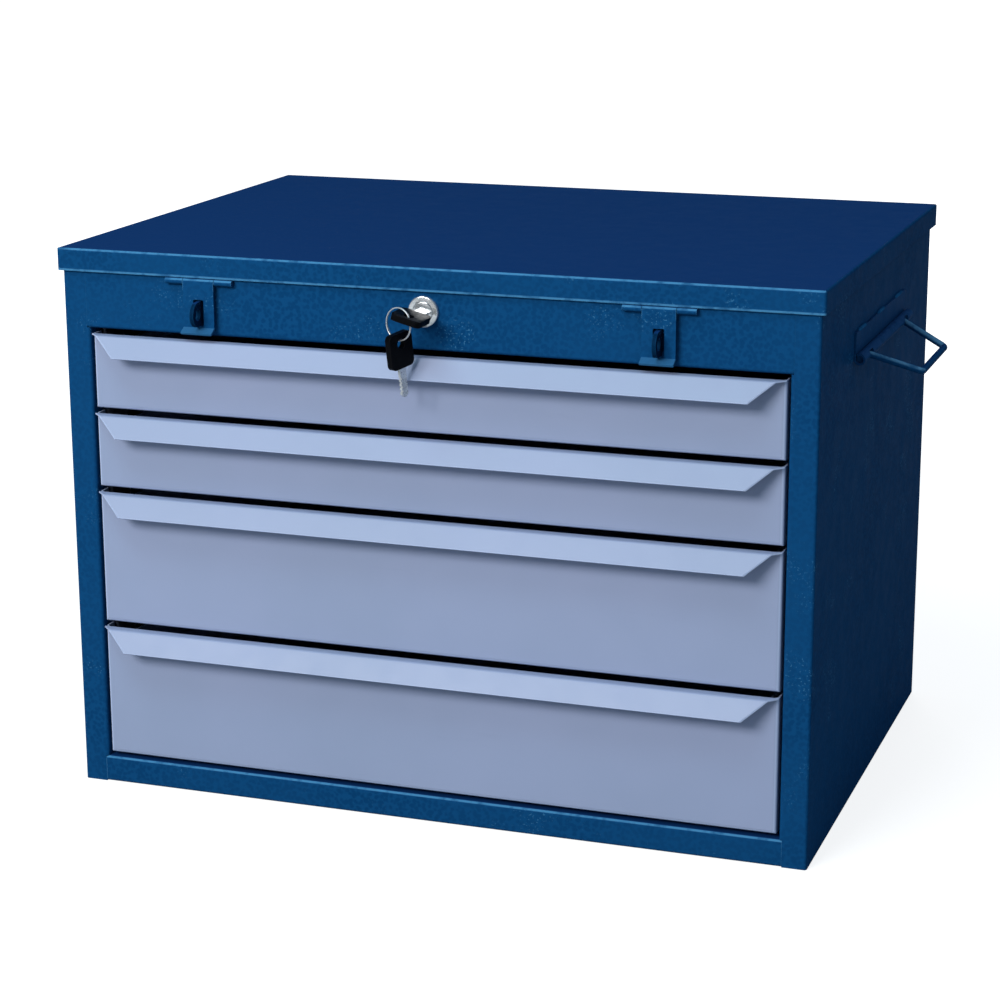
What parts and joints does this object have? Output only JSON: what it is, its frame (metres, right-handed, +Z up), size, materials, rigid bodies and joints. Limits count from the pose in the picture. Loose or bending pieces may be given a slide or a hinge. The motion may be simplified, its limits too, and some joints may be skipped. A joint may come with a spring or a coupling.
{
  "type": "portable tool box with drawers",
  "caption": "Sheet-steel portable tool box with stacked drawers, a hinged lid over a top compartment, hasps for padlocks, a cam lock and bail handles.",
  "frame": {"origin": "centre of the underside of the cabinet, midway between its sides, its front plane and its back panel", "axes": "+X toward the right side as seen from the front, +Y toward the back, +Z up; the drawers open toward -Y"},
  "size_m": [0.6464, 0.4486, 0.4088],
  "materials": {
    "blue_paint": "hammertone enamel, satin",
    "grey_paint": "light blue-grey powder coat, satin",
    "zinc_steel": "zinc plated, satin",
    "chrome": "bright plated",
    "key_steel": "nickel plated",
    "key_plastic": "moulded black, satin",
    "nylon": "natural nylon"
  },
  "bodies": {
    "cabinet": {"left_side_panel": "blue_paint", "right_side_panel": "blue_paint", "back_panel": "blue_paint", "base_panel": "blue_paint", "front_band": "blue_paint", "compartment_floor": "blue_paint", "front_posts": "zinc_steel", "rear_posts": "zinc_steel", "rails_1": "zinc_steel", "rails_2": "zinc_steel", "rails_3": "zinc_steel", "rails_4": "zinc_steel", "rail_screws": "zinc_steel", "rail_glides": "nylon", "left_handle_plate": "blue_paint", "right_handle_plate": "blue_paint", "left_staple": "blue_paint", "right_staple": "blue_paint", "lock_housing": "chrome", "lock_nut": "zinc_steel", "left_hinge_leaf": "blue_paint", "right_hinge_leaf": "blue_paint", "hinge_pins": "zinc_steel", "hinge_rivets": "zinc_steel"},
    "lid": {"lid_shell": "blue_paint", "left_lid_leaf": "blue_paint", "right_lid_leaf": "blue_paint", "left_hasp_leaf": "blue_paint", "right_hasp_leaf": "blue_paint", "hasp_pins": "blue_paint", "lid_keeper": "zinc_steel"},
    "left_hasp": {"left_hasp_strap": "blue_paint"},
    "right_hasp": {"right_hasp_strap": "blue_paint"},
    "left_bail": {"left_bail": "blue_paint"},
    "right_bail": {"right_bail": "blue_paint"},
    "lock_plug": {"lock_plug": "chrome", "lock_cam": "zinc_steel", "cam_screw": "zinc_steel", "key_blade": "key_steel", "key_head": "key_plastic"},
    "key_ring": {"key_ring": "key_steel"},
    "spare_key": {"spare_key_blade": "key_steel", "spare_key_head": "key_plastic"},
    "drawer_1": {"drawer_1_front": "grey_paint", "drawer_1_box": "grey_paint", "drawer_1_runners": "zinc_steel", "drawer_1_glides": "nylon"},
    "drawer_2": {"drawer_2_front": "grey_paint", "drawer_2_box": "grey_paint", "drawer_2_runners": "zinc_steel", "drawer_2_glides": "nylon"},
    "drawer_3": {"drawer_3_front": "grey_paint", "drawer_3_box": "grey_paint", "drawer_3_runners": "zinc_steel", "drawer_3_glides": "nylon"},
    "drawer_4": {"drawer_4_front": "grey_paint", "drawer_4_box": "grey_paint", "drawer_4_runners": "zinc_steel", "drawer_4_glides": "nylon"}
  },
  "joints": [
    {"name": "lid_hinge", "type": "hinge", "parent": "cabinet", "child": "lid", "pos_m": [0, 0.20475, 0.3941], "axis": [-1, 0, 0], "range_deg": [0, 100]},
    {"name": "left_hasp_pivot", "type": "hinge", "parent": "lid", "child": "left_hasp", "pos_m": [-0.17, -0.2027, 0.3897], "axis": [-1, 0, 0], "range_deg": [0, 110]},
    {"name": "right_hasp_pivot", "type": "hinge", "parent": "lid", "child": "right_hasp", "pos_m": [0.17, -0.2027, 0.3897], "axis": [-1, 0, 0], "range_deg": [0, 110]},
    {"name": "left_bail_pivot", "type": "hinge", "parent": "cabinet", "child": "left_bail", "pos_m": [-0.2841, 0, 0.341], "axis": [0, -1, 0], "range_deg": [-22, 68]},
    {"name": "right_bail_pivot", "type": "hinge", "parent": "cabinet", "child": "right_bail", "pos_m": [0.2841, 0, 0.341], "axis": [0, 1, 0], "range_deg": [-22, 68]},
    {"name": "drawer_1_slide", "type": "slide", "parent": "cabinet", "child": "drawer_1", "axis": [0, -1, 0], "range_m": [0, 0.3]},
    {"name": "drawer_2_slide", "type": "slide", "parent": "cabinet", "child": "drawer_2", "axis": [0, -1, 0], "range_m": [0, 0.3]},
    {"name": "drawer_3_slide", "type": "slide", "parent": "cabinet", "child": "drawer_3", "axis": [0, -1, 0], "range_m": [0, 0.3]},
    {"name": "drawer_4_slide", "type": "slide", "parent": "cabinet", "child": "drawer_4", "axis": [0, -1, 0], "range_m": [0, 0.3]},
    {"name": "lock_turn", "type": "hinge", "parent": "cabinet", "child": "lock_plug", "pos_m": [0, -0.2, 0.378], "axis": [0, 1, 0], "range_deg": [0, 90]},
    {"name": "ring_swing", "type": "hinge", "parent": "lock_plug", "child": "key_ring", "pos_m": [-0.00841, -0.22665, 0.3734], "axis": [-0.3746, -0.9272, 0], "range_deg": [0, 20]},
    {"name": "spare_key_swing", "type": "hinge", "parent": "key_ring", "child": "spare_key", "pos_m": [-0.00841, -0.22665, 0.3624], "axis": [-0.9272, 0.3746, 0], "range_deg": [0, 25]}
  ]
}
